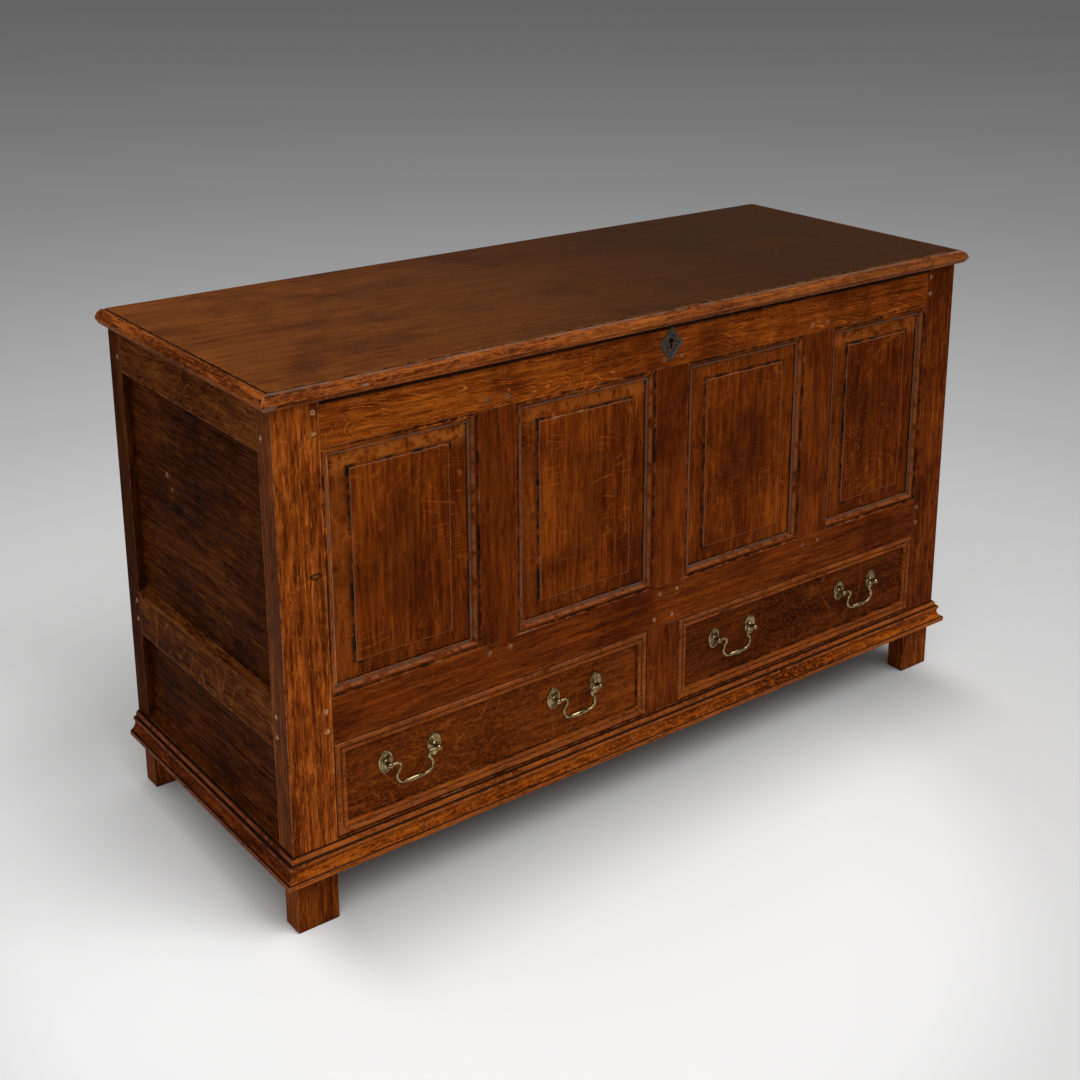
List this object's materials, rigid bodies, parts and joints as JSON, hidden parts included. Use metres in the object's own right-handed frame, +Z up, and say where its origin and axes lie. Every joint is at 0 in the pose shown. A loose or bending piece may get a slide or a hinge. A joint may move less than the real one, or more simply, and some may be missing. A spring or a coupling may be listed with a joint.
{
  "type": "mule chest",
  "caption": "Joined oak mule chest: a hinged lid over a deep panelled well, a pair of drawers with brass drop handles below, on block feet",
  "frame": {"origin": "on the floor under the middle of the whole chest", "axes": "+X to the chest's right as seen from the front, +Y from its front to its back, +Z up"},
  "size_m": [1.45, 0.5774, 0.8435],
  "materials": {
    "polished_oak": "old oak, dark red-brown, waxed and worn bright on its edges",
    "plain_oak": "unpolished oak, dry and dusty brown",
    "peg_oak": "riven oak end grain, darkened",
    "brass": "cast brass, aged to a greenish gold with bright high spots",
    "iron": "wrought iron, dark grey, waxed"
  },
  "bodies": {
    "carcass": {"back_frame": "plain_oak", "back_panels": "plain_oak", "base_moulding_front": "polished_oak", "base_moulding_left": "polished_oak", "base_moulding_right": "polished_oak", "drawer_divider": "polished_oak", "drawer_runners": "plain_oak", "escutcheon": "iron", "feet": "polished_oak", "frame_pegs": "peg_oak", "front_bottom_rail": "polished_oak", "front_middle_rail": "polished_oak", "front_top_rail": "polished_oak", "hinge_plates": "iron", "left_bottom_rail": "polished_oak", "left_middle_rail": "polished_oak", "left_side_panels": "polished_oak", "left_top_rail": "polished_oak", "lock_case": "iron", "muntin_left": "polished_oak", "muntin_middle": "polished_oak", "muntin_right": "polished_oak", "panel_inner_left": "polished_oak", "panel_inner_right": "polished_oak", "panel_outer_left": "polished_oak", "panel_outer_right": "polished_oak", "right_bottom_rail": "polished_oak", "right_middle_rail": "polished_oak", "right_side_panels": "polished_oak", "right_top_rail": "polished_oak", "stile_back_left": "polished_oak", "stile_back_right": "polished_oak", "stile_front_left": "polished_oak", "stile_front_right": "polished_oak", "well_floor_boards": "plain_oak"},
    "lid": {"hinge_straps": "iron", "lid_boards": "polished_oak", "lid_cleats": "plain_oak", "lid_moulding_front": "polished_oak", "lid_moulding_left": "polished_oak", "lid_moulding_right": "polished_oak", "lock_staple": "iron"},
    "left_drawer": {"drawer_left_back": "plain_oak", "drawer_left_bottom": "plain_oak", "drawer_left_front": "polished_oak", "drawer_left_handle_posts": "brass", "drawer_left_moulding": "polished_oak", "drawer_left_sides": "plain_oak"},
    "right_drawer": {"drawer_right_back": "plain_oak", "drawer_right_bottom": "plain_oak", "drawer_right_front": "polished_oak", "drawer_right_handle_posts": "brass", "drawer_right_moulding": "polished_oak", "drawer_right_sides": "plain_oak"},
    "bolt": {"lock_bolt": "iron"},
    "left_drawer_far_handle": {"drawer_left_bail_far": "brass"},
    "left_drawer_near_handle": {"drawer_left_bail_near": "brass"},
    "right_drawer_far_handle": {"drawer_right_bail_far": "brass"},
    "right_drawer_near_handle": {"drawer_right_bail_near": "brass"}
  },
  "joints": [
    {"name": "lid_hinge", "type": "hinge", "parent": "carcass", "child": "lid", "pos_m": [0, 0.28415, 0.8205], "axis": [-1, 0, 0], "range_deg": [0, 100]},
    {"name": "left_drawer_slide", "type": "slide", "parent": "carcass", "child": "left_drawer", "axis": [0, -1, 0], "range_m": [0, 0.38]},
    {"name": "left_drawer_near_handle_pivot", "type": "hinge", "parent": "left_drawer", "child": "left_drawer_near_handle", "pos_m": [-0.5005, -0.27915, 0.229], "axis": [-1, 0, 0], "range_deg": [-14, 150]},
    {"name": "left_drawer_far_handle_pivot", "type": "hinge", "parent": "left_drawer", "child": "left_drawer_far_handle", "pos_m": [-0.1855, -0.27915, 0.229], "axis": [-1, 0, 0], "range_deg": [-14, 150]},
    {"name": "right_drawer_slide", "type": "slide", "parent": "carcass", "child": "right_drawer", "axis": [0, -1, 0], "range_m": [0, 0.38]},
    {"name": "right_drawer_near_handle_pivot", "type": "hinge", "parent": "right_drawer", "child": "right_drawer_near_handle", "pos_m": [0.1655, -0.27915, 0.229], "axis": [-1, 0, 0], "range_deg": [-14, 150]},
    {"name": "right_drawer_far_handle_pivot", "type": "hinge", "parent": "right_drawer", "child": "right_drawer_far_handle", "pos_m": [0.4805, -0.27915, 0.229], "axis": [-1, 0, 0], "range_deg": [-14, 150]},
    {"name": "bolt_slide", "type": "slide", "parent": "carcass", "child": "bolt", "axis": [1, 0, 0], "range_m": [0, 0.008]}
  ]
}
